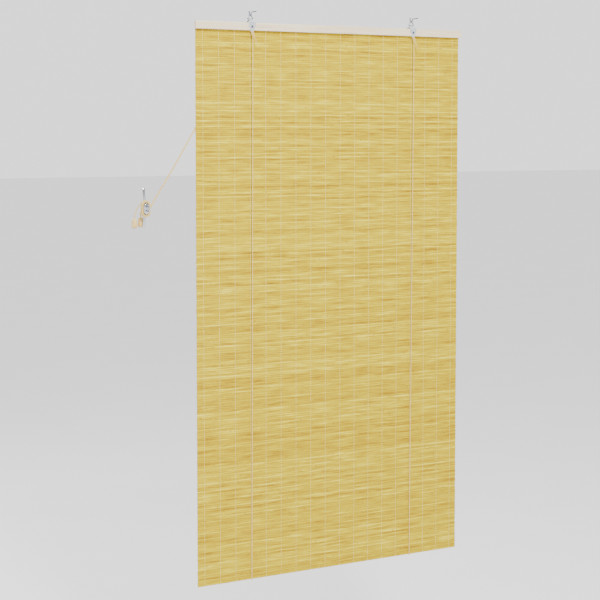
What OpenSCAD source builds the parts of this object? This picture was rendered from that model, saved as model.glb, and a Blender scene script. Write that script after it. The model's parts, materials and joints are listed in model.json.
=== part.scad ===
// Roll-up bamboo blind on two screw hooks, with its pull cords, wall cleat and wooden pulls.
// Frame: the origin is midway between the two hook seats, +Z is up, +X runs along the blind,
// and +Y points into the room. The wall is on the -Y side.

/* [Blind] */
// Length of the head rail
blind_w = 900; // [720:10:1200]
// Height from the top of the head rail to the foot of the mat
blind_h = 1600; // [1400:50:1800]
// Distance of each lift cord from the middle of the blind
cord_x = 274; // [200:1:320]

/* [Head rail] */
// Height of the wooden rail
rail_h = 22; // [20:1:30]
// Thickness of the wooden rail
rail_t = 10; // [8:1:12]
// Top of the rail below the hook seats
rail_drop = 22.5; // [20:0.5:30]
// Chamfer along the rail's long edges
rail_chamfer = 1; // [0.5:0.1:2]

/* [Mat] */
// Thickness of one bamboo splint
splint_t = 1.4; // [1:0.1:2]
// Gap between two neighbouring splints
splint_gap = 0.4; // [0.4:0.05:0.6]
// Target spacing of the splints
splint_pitch = 5.4; // [4:0.1:8]
// How much shorter the mat is than the rail
mat_inset = 4; // [2:1:10]
// Middle plane of the mat
mat_y = 0.3; // [0.3:0.1:1]
// Spacing of the warp threads
thread_pitch = 50; // [40:5:60]
// Width of one thread strip
thread_w = 1.2; // [0.8:0.1:2]
// Thickness of one thread strip
thread_t = 0.4; // [0.2:0.05:0.4]
// Drop of the loose mat between the rail and the finished roll
top_band_h = 65; // [55:1:80]
// Distance between two layers of the rolled mat
roll_layer = 5; // [4:0.1:6]

/* [Cords] */
// Diameter of the lift and pull cords
cord_d = 3; // [2.5:0.1:3]

/* [Hangers] */
// Wire radius of the bail loop
bail_wire_r = 1.25; // [1:0.05:1.4]
// Half width of the bail's base
bail_half_w = 9.3; // [9:0.1:11]
// Wire radius of the screw hook
hook_wire_r = 1.5; // [1.3:0.05:1.6]
// Inner bend radius of the screw hook's centreline
hook_bend_r = 5.5; // [5:0.1:6]
// Wall plane, where the hooks' threads start
wall_y = -22; // [-30:1:-20]
// Thickness of the folded bracket sheet
sheet_t = 1.2; // [0.8:0.1:1.2]

/* [Pulleys] */
// Radius of the wheel's flanges
wheel_r = 8; // [7.5:0.1:8.5]
// Width of the wheel
wheel_w = 8; // [7.8:0.1:8.2]
// Radius of the axle rivet
axle_r = 2; // [1.5:0.1:2]

/* [Cleat] */
// Total height of the cleat over both horns
cleat_h = 113; // [90:1:130]
// Height of the cleat's oval base
cleat_base_h = 28; // [24:1:30]
// Width of the cleat's oval base
cleat_base_w = 18; // [16:1:20]
// Spacing of the two cleat screws
screw_pitch = 12; // [10:1:14]

/* [Hidden] */

round_fn = 64;
eps = 0.01;

// Rail and mat
rail_top_z = -rail_drop;
rail_foot_z = rail_top_z - rail_h;
rail_back_y = -1;
rail_mid_y = rail_back_y - rail_t / 2;
rail_front_y = rail_back_y - rail_t;
mat_w = blind_w - mat_inset;
mat_back_y = mat_y + splint_t / 2;
mat_front_y = mat_y - splint_t / 2;
mat_foot_z = rail_top_z - blind_h;
header_count = 4;
edge_flat = 0.25;
edge_slope = 0.3;
thread_count = 2 * round(mat_w / (2 * thread_pitch));

// The mat rolls up as a six-sided spiral: each side is longer than the side inside it
spiral_sides = 31;
side_growth = roll_layer / (6 * sin(60));
spiral_len = blind_h - rail_h - top_band_h;
core_side = (spiral_len - side_growth * spiral_sides * (spiral_sides - 1) / 2) / spiral_sides;
function band_h(band) = band == 0 ? top_band_h : core_side + (spiral_sides - band) * side_growth;
function band_top_z(band) = band == 0 ? rail_foot_z : band_top_z(band - 1) - band_h(band - 1);

// Staples
staple_count = 9;
staple_pitch = 100;
staple_wire = 0.6;
staple_w = 10;
staple_leg = 8;
staple_z = rail_foot_z + 10;

// Bracket
bail_base_z = -12.5;
knuckle_r = 2.5;
knuckle_half_w = 6.2;
bore_gap = 0.05;
front_plate_y = rail_front_y - sheet_t / 2;
back_plate_y = 11.8;
plate_half_w = 11;
plate_tip_half_w = 2.6;
plate_tip_z = rail_foot_z - 6.5;
back_plate_foot_z = rail_top_z - 17;
waist_half_w = 5.7;
becket_hole_r = 1.3;
becket_hole_z = rail_foot_z - 2.8;

// Axle and wheel
axle_z = rail_top_z - 11.5;
hole_gap = 0.15;
rivet_head_r = 3.6;
rivet_head_t = 1.4;
wheel_y = 2.8;
flange_t = 0.8;
groove_r = 4.9;
washer_y = 1.5;
washer_t = 1;
washer_r = 4.5;
cord_track_r = 6.5;
near_track_y = 5.2;
far_track_y = 8.4;

// Hook
hook_seat_gap = 0.2;
hook_low_z = -(bail_wire_r + hook_wire_r + hook_seat_gap);
hook_centre_z = hook_low_z + hook_bend_r;
hook_neck_r = 4.5;
hook_shank_z = hook_centre_z + hook_neck_r;
hook_tip_z = 9.5;
hook_end_y = wall_y - 16;
hook_point_len = 3;

// Bail: its legs are drawn a little thinner than its base, and each corner bead is a little fatter
bail_top_half_w = 1.9;
bail_leg_r = bail_wire_r - 0.1;
bail_bead_r = bail_wire_r + 0.03;

// Cleat
cleat_x = -608;
cleat_z = -540;
cleat_base_t = 3;
neck_w = 8;
neck_h = 20;
bar_t = 3.6;
bar_y = -7;
horn_rise = 7;
horn_half_w = 5;
horn_tip_half_w = 3.4;
screw_r = 1.75;
screw_shank_r = 1.5;
screw_runout = 0.5;
screw_head_r = 3.3;
screw_reach = 14;
screw_clear_r = 1.95;

// Cord winding around the cleat's neck
winding_w = 26;
winding_h = 46;
winding_bundle = 7;
winding_y = -18;
winding_t = 8;

// Cord routes, point by point
cord_r = cord_d / 2;
cord_sides = 8;
left_lead = [-279.7, 5.2, -30.9];
right_lead = [-279.7, 8.4, -30.9];
left_pull_route = [[-280, 5.2, -31.4], [-295, 5.2, -59], [-326, 5, -116], [-358, 4.8, -171],
    [-389, 4.6, -225], [-420, 4.3, -278], [-451, 4, -329], [-483, 3.4, -379],
    [-514, 2.8, -428], [-545, 2, -475], [-576, 1, -521], [-589, -0.5, -541],
    [-595, -4, -550], [-598, -10, -557]];
right_pull_route = [[-280, 8.4, -31.4], [-295, 8.4, -59], [-326, 8.2, -116], [-358, 8, -171],
    [-389, 7.8, -225], [-420, 7.5, -278], [-451, 7.2, -329], [-483, 6.6, -379],
    [-514, 6, -428], [-545, 5.2, -475], [-576, 4.2, -521], [-588, 3.8, -539],
    [-596, 0, -546], [-599, -10, -549]];
left_tail_route = [[-617, -9.5, -526], [-617.5, -5, -526], [-621, -0.5, -531], [-626, 3, -541],
    [-631, 5.5, -555], [-633, 6, -567]];
right_tail_route = [[-616, -9.5, -552], [-616.5, -5, -550.5], [-616.5, 1, -550.5],
    [-615, 7, -552.5], [-612.5, 11, -557], [-611, 12.5, -564]];
lift_front = [[-15.6, -58], [-14, -300], [-10.5, -700], [-7.5, -1100]];
lift_back_y = 3.4;
loop_r = 3.2;
knot_r = 3.2;
knot_h = 10;
knot_stub_r = 1.2;
knot_stop_r = 2.2;
knot_tail = [[1, -16.5, -57], [4, -17.5, -63], [8, -17.5, -71], [11, -17, -79]];
left_acorn_top = [-633, 6, -567];
right_acorn_top = [-611, 12.5, -564];
acorn_h = 27;
acorn_r = 8.2;

// Points along a smooth curve through a route
function curve_point(a, b, c, d, t) = 0.5 * (2 * b + (c - a) * t
    + (2 * a - 5 * b + 4 * c - d) * t * t + (3 * b - a - 3 * c + d) * t * t * t);
function smooth(route, steps) = concat([for (i = [0:len(route) - 2]) for (s = [0:steps - 1])
    curve_point(route[max(i - 1, 0)], route[i], route[i + 1],
        route[min(i + 2, len(route) - 1)], s / steps)], [route[len(route) - 1]]);

// One closed tube whose rings stand square to the path
function unit(v) = v / norm(v);
function heading(path, i) = unit(path[min(i + 1, len(path) - 1)] - path[max(i - 1, 0)]);
function side_of(dir) = abs(dir.y) < 0.9 ? unit(cross(dir, [0, 1, 0])) : unit(cross(dir, [1, 0, 0]));
function ring(path, i, r) = let (dir = heading(path, i), u = side_of(dir), v = cross(dir, u))
    [for (k = [0:cord_sides - 1]) path[i] + r * (u * cos(360 * k / cord_sides)
        + v * sin(360 * k / cord_sides))];
module tube(path, r) {
    last = len(path) - 1;
    points = [for (i = [0:last]) each ring(path, i, r)];
    start_cap = [for (k = [0:cord_sides - 1]) k];
    end_cap = [for (k = [cord_sides - 1:-1:0]) last * cord_sides + k];
    walls = [for (i = [0:last - 1]) for (k = [0:cord_sides - 1]) let (n = (k + 1) % cord_sides)
        each [[i * cord_sides + k, (i + 1) * cord_sides + k, i * cord_sides + n],
            [i * cord_sides + n, (i + 1) * cord_sides + k, (i + 1) * cord_sides + n]]];
    polyhedron(points = points, faces = concat([start_cap, end_cap], walls), convexity = 6);
}

// A round wire bent in the XY plane: straight rods joined by round bends
function turn_dir(points, i) = unit(points[i + 1] - points[i]);
module rod(from, to, r) {
    translate([from.x, from.y, 0])
        rotate([0, 90, atan2(to.y - from.y, to.x - from.x)])
            cylinder(h = norm(to - from), r = r, $fn = round_fn);
}
module bend(corner, before, after, bend_r, r) {
    turn = acos(before * after);
    left = before.x * after.y - before.y * after.x > 0 ? 1 : -1;
    start = corner - before * bend_r * tan(turn / 2);
    centre = start + left * bend_r * [-before.y, before.x];
    first = atan2(start.y - centre.y, start.x - centre.x);
    translate([centre.x, centre.y, 0])
        rotate([0, 0, left > 0 ? first : first - turn])
            rotate_extrude(angle = turn, $fn = round_fn)
                translate([bend_r, 0]) circle(r = r, $fn = round_fn);
}
function cut_back(points, radii, i) = radii[i] == 0 ? 0
    : radii[i] * tan(acos(turn_dir(points, i - 1) * turn_dir(points, i)) / 2);
module wire(points, radii, r) {
    last = len(points) - 1;
    for (i = [0:last - 1]) {
        dir = turn_dir(points, i);
        from = points[i] + dir * cut_back(points, radii, i);
        to = points[i + 1] - dir * cut_back(points, radii, i + 1);
        if (norm(to - from) > eps) rod(from, to, r);
    }
    for (i = [1:last - 1])
        if (radii[i] > 0) bend(points[i], turn_dir(points, i - 1), turn_dir(points, i), radii[i], r);
}

// A straight-sided oval in the XY plane
module stadium(w, h) {
    for (end = [-1, 1]) translate([0, end * (h - w) / 2]) circle(d = w, $fn = round_fn);
    square([w, h - w], center = true);
}

// Turns a drawing in the XY plane into one seen along Y: drawing Y becomes Z
module facing_room(y, t) {
    translate([0, y + t, 0]) rotate([90, 0, 0]) linear_extrude(t) children();
}

// A hole or rod along Y
module along_y(x, y, z, h, r) {
    translate([x, y + h, z]) rotate([90, 0, 0]) cylinder(h = h, r = r, $fn = round_fn);
}

// ---- Rail and mat ----

module head_rail() {
    w = rail_t / 2;
    h = rail_h / 2;
    c = rail_chamfer;
    color("wheat")
        difference() {
            translate([-blind_w / 2, rail_mid_y, rail_top_z - h])
                rotate([90, 0, 90])
                    linear_extrude(blind_w)
                        polygon([[-w, c - h], [c - w, -h], [w - c, -h], [w, c - h],
                            [w, h - c], [w - c, h], [c - w, h], [-w, h - c]]);
            for (side = [-1, 1])
                along_y(side * cord_x, rail_front_y - 1, axle_z, rail_t + 2, axle_r + hole_gap);
        }
}

module splint(top_z, pitch) {
    h = (pitch - splint_gap) / 2;
    t = splint_t / 2;
    translate([-mat_w / 2, mat_y, top_z - pitch / 2])
        rotate([90, 0, 90])
            linear_extrude(mat_w)
                polygon([[-edge_flat, -h], [edge_flat, -h], [t, edge_slope - h], [t, h - edge_slope],
                    [edge_flat, h], [-edge_flat, h], [-t, h - edge_slope], [-t, edge_slope - h]]);
}

module splint_band(top_z, height, count) {
    pitch = height / count;
    for (i = [0:count - 1]) splint(top_z - i * pitch, pitch);
}

module mat_band(band) {
    color("khaki") splint_band(band_top_z(band), band_h(band), round(band_h(band) / splint_pitch));
}

module mat_header() {
    color("khaki")
        difference() {
            splint_band(rail_top_z, rail_h, header_count);
            for (side = [-1, 1])
                along_y(side * cord_x, mat_y - 3, axle_z, 6, axle_r + hole_gap);
        }
}

module warp_threads() {
    color("goldenrod")
        difference() {
            for (i = [0:thread_count - 1])
                for (y = [mat_front_y - thread_t, mat_back_y])
                    translate([(i - (thread_count - 1) / 2) * thread_pitch - thread_w / 2, y, mat_foot_z])
                        cube([thread_w, thread_t, blind_h]);
            for (side = [-1, 1])
                along_y(side * cord_x, mat_y - 3, axle_z, 6, axle_r + hole_gap);
        }
}

module rail_staples() {
    color("silver")
        for (i = [0:staple_count - 1])
            translate([(i - (staple_count - 1) / 2) * staple_pitch - staple_w / 2, 0, staple_z]) {
                translate([0, mat_back_y, 0]) cube([staple_w, staple_wire, staple_wire]);
                for (x = [0, staple_w - staple_wire])
                    translate([x, mat_back_y - staple_leg, 0])
                        cube([staple_wire, staple_leg, staple_wire]);
            }
}

// ---- Bracket, axle and wheel ----

module sheet_line(from, to) {
    side = sheet_t / 2 * unit([from.y - to.y, to.x - from.x]);
    polygon([from + side, from - side, to - side, to + side]);
    translate(to) circle(d = sheet_t, $fn = round_fn);
}

module bracket_side() {
    difference() {
        union() {
            translate([0, bail_base_z]) circle(r = knuckle_r, $fn = round_fn);
            sheet_line([front_plate_y, plate_tip_z], [front_plate_y, rail_top_z + 0.8]);
            sheet_line([-1, bail_base_z - 1], [front_plate_y, rail_top_z + 0.8]);
            sheet_line([back_plate_y, back_plate_foot_z], [back_plate_y, rail_top_z + 0.8]);
            sheet_line([1, bail_base_z - 1], [back_plate_y, rail_top_z + 0.8]);
        }
        translate([0, bail_base_z]) circle(r = bail_wire_r + bore_gap, $fn = round_fn);
    }
}

module bracket_front() {
    half = [[plate_tip_half_w, plate_tip_z - 1], [plate_half_w, rail_top_z - 9],
        [plate_half_w, rail_top_z + 1], [waist_half_w, rail_top_z + 5.5],
        [knuckle_half_w, bail_base_z - 1.5], [knuckle_half_w, bail_base_z + 4]];
    polygon(concat(half, [for (i = [len(half) - 1:-1:0]) [-half[i].x, half[i].y]]));
}

module bracket(x) {
    color("gainsboro")
        difference() {
            translate([x, 0, 0])
                intersection() {
                    translate([-plate_half_w - 1, 0, 0])
                        rotate([90, 0, 90])
                            linear_extrude(2 * plate_half_w + 2) bracket_side();
                    facing_room(-20, 40) bracket_front();
                }
            along_y(x, -20, axle_z, 40, axle_r + hole_gap);
            along_y(x, -20, becket_hole_z, 12, becket_hole_r);
        }
}

module left_bracket() { bracket(-cord_x); }
module right_bracket() { bracket(cord_x); }

module axle_rivets() {
    front_y = front_plate_y - sheet_t / 2;
    back_y = back_plate_y + sheet_t / 2;
    color("silver")
        for (side = [-1, 1]) {
            along_y(side * cord_x, front_y - eps, axle_z, back_y - front_y + 2 * eps, axle_r);
            along_y(side * cord_x, front_y - rivet_head_t, axle_z, rivet_head_t, rivet_head_r);
            along_y(side * cord_x, back_y, axle_z, rivet_head_t, rivet_head_r);
        }
}

module axle_washers() {
    color("silver")
        for (side = [-1, 1])
            difference() {
                along_y(side * cord_x, washer_y, axle_z, washer_t, washer_r);
                along_y(side * cord_x, washer_y - 1, axle_z, washer_t + 2, axle_r + bore_gap);
            }
}

module pulley(x) {
    bore_r = axle_r + bore_gap;
    color("white")
        translate([x, wheel_y, axle_z])
            rotate([-90, 0, 0])
                rotate_extrude($fn = round_fn)
                    polygon([[bore_r, 0], [wheel_r, 0], [wheel_r, flange_t], [groove_r, flange_t],
                        [groove_r, wheel_w - flange_t], [wheel_r, wheel_w - flange_t],
                        [wheel_r, wheel_w], [bore_r, wheel_w]]);
}

module left_pulley() { pulley(-cord_x); }
module right_pulley() { pulley(cord_x); }

// ---- Bail and hook ----

module bail(x) {
    corners = [[-bail_half_w, bail_base_z], [bail_half_w, bail_base_z],
        [bail_top_half_w, 0], [-bail_top_half_w, 0]];
    color("silver")
        translate([x, 0, 0])
            rotate([90, 0, 0])
                for (i = [0:3]) {
                    rod(corners[i], corners[(i + 1) % 4], i % 2 == 0 ? bail_wire_r : bail_leg_r);
                    translate([corners[i].x, corners[i].y, 0])
                        sphere(r = bail_bead_r, $fn = round_fn);
                }
}

module left_bail() { bail(-cord_x); }
module right_bail() { bail(cord_x); }

module screw_hook(x) {
    color("silver")
        translate([x, 0, 0])
            rotate([90, 0, 90]) {
                wire([[hook_bend_r, hook_tip_z], [hook_bend_r, hook_low_z],
                    [-hook_bend_r, hook_low_z], [-hook_bend_r, hook_shank_z],
                    [hook_end_y + hook_point_len, hook_shank_z]],
                    [0, hook_bend_r, hook_bend_r, hook_neck_r, 0], hook_wire_r);
                translate([hook_bend_r, hook_tip_z, 0])
                    sphere(r = hook_wire_r, $fn = round_fn);
                translate([hook_end_y + hook_point_len, hook_shank_z, 0])
                    rotate([0, -90, 0])
                        cylinder(h = hook_point_len, r1 = hook_wire_r, r2 = 0.2, $fn = round_fn);
            }
}

module left_screw_hook() { screw_hook(-cord_x); }
module right_screw_hook() { screw_hook(cord_x); }

// ---- Cleat ----

function horn_y(z) = bar_y + horn_rise * pow(abs(z) / (cleat_h / 2), 2);

module horn_side() {
    steps = 12;
    half = cleat_h / 2;
    zs = [for (i = [-steps:steps]) i * half / steps];
    polygon(concat([for (z = zs) [horn_y(z) - bar_t / 2, z]],
        [for (i = [len(zs) - 1:-1:0]) [horn_y(zs[i]) + bar_t / 2, zs[i]]]));
}

module horn_front() {
    reach = cleat_h / 2 - horn_tip_half_w;
    polygon([[horn_tip_half_w, -reach], [horn_half_w, 0], [horn_tip_half_w, reach],
        [-horn_tip_half_w, reach], [-horn_half_w, 0], [-horn_tip_half_w, -reach]]);
    for (end = [-1, 1]) translate([0, end * reach]) circle(r = horn_tip_half_w, $fn = round_fn);
}

module cleat() {
    head_y = bar_y + bar_t / 2;
    color("lightsteelblue")
        difference() {
            translate([cleat_x, 0, cleat_z]) {
                facing_room(wall_y, cleat_base_t) stadium(cleat_base_w, cleat_base_h);
                facing_room(wall_y, bar_y - wall_y) stadium(neck_w, neck_h);
                intersection() {
                    translate([-2 * horn_half_w, 0, 0])
                        rotate([90, 0, 90])
                            linear_extrude(4 * horn_half_w) horn_side();
                    facing_room(-20, 40) horn_front();
                }
            }
            for (end = [-1, 1])
                translate([0, 0, cleat_z + end * screw_pitch / 2]) {
                    along_y(cleat_x, wall_y - 1, 0, 30, screw_clear_r);
                    along_y(cleat_x, head_y - 2, 0, 10, screw_head_r + 0.3);
                }
        }
}

module cleat_screws() {
    head_y = bar_y + bar_t / 2;
    color("gray")
        for (end = [-1, 1])
            translate([0, 0, cleat_z + end * screw_pitch / 2]) {
                along_y(cleat_x, wall_y - screw_reach, 0, screw_reach - screw_runout, screw_r);
                along_y(cleat_x, wall_y - 1, 0, head_y - 1 - wall_y, screw_shank_r);
                along_y(cleat_x, head_y - 2, 0, 1.8, screw_head_r);
            }
}

// ---- Cords ----

function over_wheel(x, y, from, to, steps) = [for (i = [0:steps])
    let (a = from + (to - from) * i / steps)
    [x + cord_track_r * cos(a), y, axle_z + cord_track_r * sin(a)]];

// Down the wall side, under the foot of the mat and up the room side, to below the wheel
function lift_run(x, track_y) = concat(
    [for (p = lift_front) [x, p[0], p[1]]],
    [for (i = [0:6]) let (a = 180 + 30 * i)
        [x + cord_track_r * i / 6, mat_y + loop_r * cos(a), mat_foot_z + 1 + loop_r * sin(a)]],
    [[x + cord_track_r, lift_back_y, -1300], [x + cord_track_r, lift_back_y, -700],
        [x + cord_track_r, lift_back_y + 0.2, -200], [x + cord_track_r, track_y, -60]]);

module left_lift_cord() {
    color("cornsilk")
        tube(concat(lift_run(-cord_x, near_track_y),
            over_wheel(-cord_x, near_track_y, 0, 140, 7), [left_lead]), cord_r);
}

module right_lift_cord() {
    color("cornsilk")
        tube(concat(lift_run(cord_x, far_track_y), over_wheel(cord_x, far_track_y, 0, 90, 5),
            over_wheel(-cord_x, far_track_y, 90, 140, 3), [right_lead]), cord_r);
}

module left_pull_cord() { color("cornsilk") tube(smooth(left_pull_route, 3), cord_r); }
module right_pull_cord() { color("cornsilk") tube(smooth(right_pull_route, 3), cord_r); }

module cleat_winding() {
    color("cornsilk")
        translate([cleat_x, 0, cleat_z])
            facing_room(winding_y, winding_t)
                difference() {
                    stadium(winding_w, winding_h);
                    stadium(winding_w - 2 * winding_bundle, winding_h - 2 * winding_bundle);
                }
}

module left_cord_tail() { color("cornsilk") tube(smooth(left_tail_route, 2), cord_r); }
module right_cord_tail() { color("cornsilk") tube(smooth(right_tail_route, 2), cord_r); }

module becket_knots() {
    color("cornsilk")
        for (side = [-1, 1]) {
            translate([side * cord_x, lift_front[0][0], lift_front[0][1]])
                cylinder(h = knot_h, r = knot_r, $fn = round_fn);
            along_y(side * cord_x, -14, becket_hole_z, 4, knot_stub_r);
            along_y(side * cord_x, -10.8, becket_hole_z, 2, knot_stop_r);
            tube(smooth([for (p = knot_tail) [side * cord_x + p.x, p.y, p.z]], 2), cord_r - 0.3);
        }
}

module acorn(top) {
    r = acorn_r;
    color("burlywood")
        translate(top)
            mirror([0, 0, 1])
                rotate_extrude($fn = round_fn)
                    polygon([[0, 0], [3, 0], [5.6, 2], [6.8, 5], [7.4, 10], [r, 20], [r, acorn_h - 3],
                        [r - 1.2, acorn_h - 0.6], [r - 2.5, acorn_h], [0, acorn_h]]);
}

module left_acorn() { acorn(left_acorn_top); }
module right_acorn() { acorn(right_acorn_top); }

head_rail();
mat_header();
rail_staples();
left_bracket();
right_bracket();
axle_rivets();
axle_washers();
left_pulley();
right_pulley();
left_bail();
right_bail();
left_screw_hook();
right_screw_hook();
cleat();
cleat_screws();
becket_knots();
left_lift_cord();
right_lift_cord();
left_pull_cord();
right_pull_cord();
cleat_winding();
left_cord_tail();
right_cord_tail();
left_acorn();
right_acorn();
warp_threads();
mat_band(0);  // mat_band_00
mat_band(1);  // mat_band_01
mat_band(2);  // mat_band_02
mat_band(3);  // mat_band_03
mat_band(4);  // mat_band_04
mat_band(5);  // mat_band_05
mat_band(6);  // mat_band_06
mat_band(7);  // mat_band_07
mat_band(8);  // mat_band_08
mat_band(9);  // mat_band_09
mat_band(10);  // mat_band_10
mat_band(11);  // mat_band_11
mat_band(12);  // mat_band_12
mat_band(13);  // mat_band_13
mat_band(14);  // mat_band_14
mat_band(15);  // mat_band_15
mat_band(16);  // mat_band_16
mat_band(17);  // mat_band_17
mat_band(18);  // mat_band_18
mat_band(19);  // mat_band_19
mat_band(20);  // mat_band_20
mat_band(21);  // mat_band_21
mat_band(22);  // mat_band_22
mat_band(23);  // mat_band_23
mat_band(24);  // mat_band_24
mat_band(25);  // mat_band_25
mat_band(26);  // mat_band_26
mat_band(27);  // mat_band_27
mat_band(28);  // mat_band_28
mat_band(29);  // mat_band_29
mat_band(30);  // mat_band_30
mat_band(31);  // mat_band_31
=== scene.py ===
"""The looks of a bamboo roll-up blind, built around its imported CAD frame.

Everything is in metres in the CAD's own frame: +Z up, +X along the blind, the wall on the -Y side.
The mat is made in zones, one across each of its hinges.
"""
import json
import math

import bpy
import numpy as np
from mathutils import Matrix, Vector


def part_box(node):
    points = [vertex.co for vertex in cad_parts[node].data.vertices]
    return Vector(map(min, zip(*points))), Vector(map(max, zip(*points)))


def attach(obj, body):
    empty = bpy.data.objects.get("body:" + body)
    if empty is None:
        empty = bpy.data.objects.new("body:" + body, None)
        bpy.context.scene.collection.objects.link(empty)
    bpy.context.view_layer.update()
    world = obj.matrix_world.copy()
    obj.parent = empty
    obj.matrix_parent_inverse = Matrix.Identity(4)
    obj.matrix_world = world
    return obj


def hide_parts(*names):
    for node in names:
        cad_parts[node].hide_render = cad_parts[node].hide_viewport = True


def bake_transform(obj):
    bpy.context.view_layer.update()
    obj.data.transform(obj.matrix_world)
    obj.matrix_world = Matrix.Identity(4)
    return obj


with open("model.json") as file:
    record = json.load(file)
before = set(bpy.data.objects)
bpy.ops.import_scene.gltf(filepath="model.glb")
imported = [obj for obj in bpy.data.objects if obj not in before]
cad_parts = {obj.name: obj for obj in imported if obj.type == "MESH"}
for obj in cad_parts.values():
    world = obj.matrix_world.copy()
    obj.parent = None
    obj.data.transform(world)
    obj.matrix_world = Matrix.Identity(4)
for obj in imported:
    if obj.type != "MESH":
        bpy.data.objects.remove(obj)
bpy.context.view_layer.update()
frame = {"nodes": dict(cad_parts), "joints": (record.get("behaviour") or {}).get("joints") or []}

rng = np.random.default_rng(7)
MM = 0.001


# ---- Places taken from the frame ----

def mm(*values):
    """A point or a length list given in millimetres, in metres."""
    return np.array(values, float) * MM


joint_at = {joint["name"]: joint for joint in frame["joints"]}
BAND_COUNT = sum(name.startswith("mat_band_") for name in frame["nodes"])
LOWEST_BAND = "mat_band_%02d" % (BAND_COUNT - 1)
RAIL_TOP_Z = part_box("head_rail")[1][2]

# The mat
header_low, header_high = (np.array(c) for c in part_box("mat_header"))
SPLINT_GAP = 0.4 * MM
SPLINT_PITCH = 5.4 * MM
SPLINT_T = header_high[1] - header_low[1]
MAT_LENGTH = header_high[0] - header_low[0]
MAT_Y = (header_low[1] + header_high[1]) / 2
FOOT_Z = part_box(LOWEST_BAND)[0][2] - SPLINT_GAP / 2
HINGE_Z = [joint_at["mat_roll_%02d" % k]["pos_m"][2] for k in range(BAND_COUNT)] + [FOOT_Z]

# The cords and the wheels that they run over
CORD_X = -joint_at["left_bail_swing"]["pos_m"][0]
AXLE_Z = joint_at["left_pulley_spin"]["pos_m"][2]
CORD_D = 3 * MM
CORD_R = CORD_D / 2
CORD_STRANDS = 3
WHEEL_TRACK_R = 6.5 * MM
NEAR_TRACK_Y = 5.2 * MM
FAR_TRACK_Y = 8.4 * MM
SIDES = {"left": -1, "right": 1}

# The cleat and the cord wound on it
cleat_low, cleat_high = (np.array(c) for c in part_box("cleat"))
winding_low, winding_high = (np.array(c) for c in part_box("cleat_winding"))
CLEAT_X = (cleat_low[0] + cleat_high[0]) / 2
CLEAT_Z = (cleat_low[2] + cleat_high[2]) / 2
WALL_Y = cleat_low[1]


# ---- Mesh tools ----

class Shape:
    """Collects vertices and faces, and makes one object of them.

    Each face has a material number. Each vertex has a tone, and how much of a knot and of an edge it is,
    which the materials read. The edge value is painted shade: the materials darken the colour there.
    """

    def __init__(self):
        self.verts = []
        self.faces = []
        self.numbers = []
        self.tones = []
        self.knots = []
        self.edges = []
        self.count = 0

    def add(self, verts, faces, number=0, tone=0.5, knots=None, edges=None):
        """Adds a mesh whose faces are numbered from its own first vertex."""
        verts = np.asarray(verts, float)
        self.verts.append(verts)
        self.faces.extend([tuple(i + self.count for i in face) for face in faces])
        self.numbers.extend([number] * len(faces))
        self.tones.append(np.full(len(verts), tone, np.float32))
        self.knots.append(np.zeros(len(verts), np.float32) if knots is None else knots)
        self.edges.append(np.zeros(len(verts), np.float32) if edges is None else edges)
        self.count += len(verts)

    def make(self, name, materials, body=None, smooth=True, sharp_angle=40):
        """Makes the object, which rides on a body if one is named."""
        mesh = bpy.data.meshes.new(name)
        mesh.from_pydata(np.concatenate(self.verts).tolist(), [], self.faces)
        for material in materials:
            mesh.materials.append(material)
        mesh.polygons.foreach_set("material_index", self.numbers)
        for attribute, values in (("tone", self.tones), ("knot", self.knots), ("edge", self.edges)):
            layer = mesh.attributes.new(attribute, "FLOAT", "POINT")
            layer.data.foreach_set("value", np.concatenate(values).astype(np.float32))
        mesh.update()
        if smooth:
            mesh.shade_smooth()
            mesh.set_sharp_from_angle(angle=math.radians(sharp_angle))
        piece = bpy.data.objects.new(name, mesh)
        bpy.context.collection.objects.link(piece)
        if body:
            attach(piece, body)
        return piece


def ring_faces(rings, sides, closed=False, caps=True):
    """Quads between successive rings of vertices, and a cap at each end of an open tube."""
    faces = []
    for i in range(rings if closed else rings - 1):
        a, b = i * sides, (i + 1) % rings * sides
        for k in range(sides):
            n = (k + 1) % sides
            faces.append((a + k, a + n, b + n, b + k))
    if caps and not closed:
        faces.append(tuple(range(sides - 1, -1, -1)))
        faces.append(tuple(range((rings - 1) * sides, rings * sides)))
    return faces


def smooth_curve(points, step):
    """A Catmull-Rom curve through points, resampled to an even step."""
    points = np.asarray(points, float)
    extended = np.vstack([2 * points[0] - points[1], points, 2 * points[-1] - points[-2]])
    per_span = 16
    t = np.linspace(0, 1, per_span, endpoint=False)[:, None]
    fine = []
    for i in range(len(points) - 1):
        a, b, c, d = extended[i:i + 4]
        fine.append(0.5 * (2 * b + (c - a) * t + (2 * a - 5 * b + 4 * c - d) * t ** 2
                           + (3 * b - a - 3 * c + d) * t ** 3))
    return resample(np.vstack(fine + [points[-1:]]), step)


def resample(points, step):
    """The same line with evenly spaced points, about step apart."""
    along = np.concatenate([[0], np.cumsum(np.linalg.norm(np.diff(points, axis=0), axis=1))])
    count = max(2, int(round(along[-1] / step)) + 1)
    even = np.linspace(0, along[-1], count)
    return np.column_stack([np.interp(even, along, points[:, k]) for k in range(3)])


def line_length(points):
    """The length of the line through points."""
    return float(np.linalg.norm(np.diff(points, axis=0), axis=1).sum())


def frames_along(path, closed=False):
    """Two directions square to the path at each point, carried along it without twisting."""
    if closed:
        tangent = np.roll(path, -1, axis=0) - np.roll(path, 1, axis=0)
    else:
        tangent = np.gradient(path, axis=0)
    tangent /= np.linalg.norm(tangent, axis=1)[:, None]
    seed = np.array([0, 1, 0]) if abs(tangent[0][1]) < 0.9 else np.array([1, 0, 0])
    across = np.cross(tangent[0], seed)
    first = []
    for direction in tangent:
        across = across - direction * (across @ direction)
        across /= np.linalg.norm(across)
        first.append(across)
    first = np.array(first)
    return first, np.cross(tangent, first)


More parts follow.
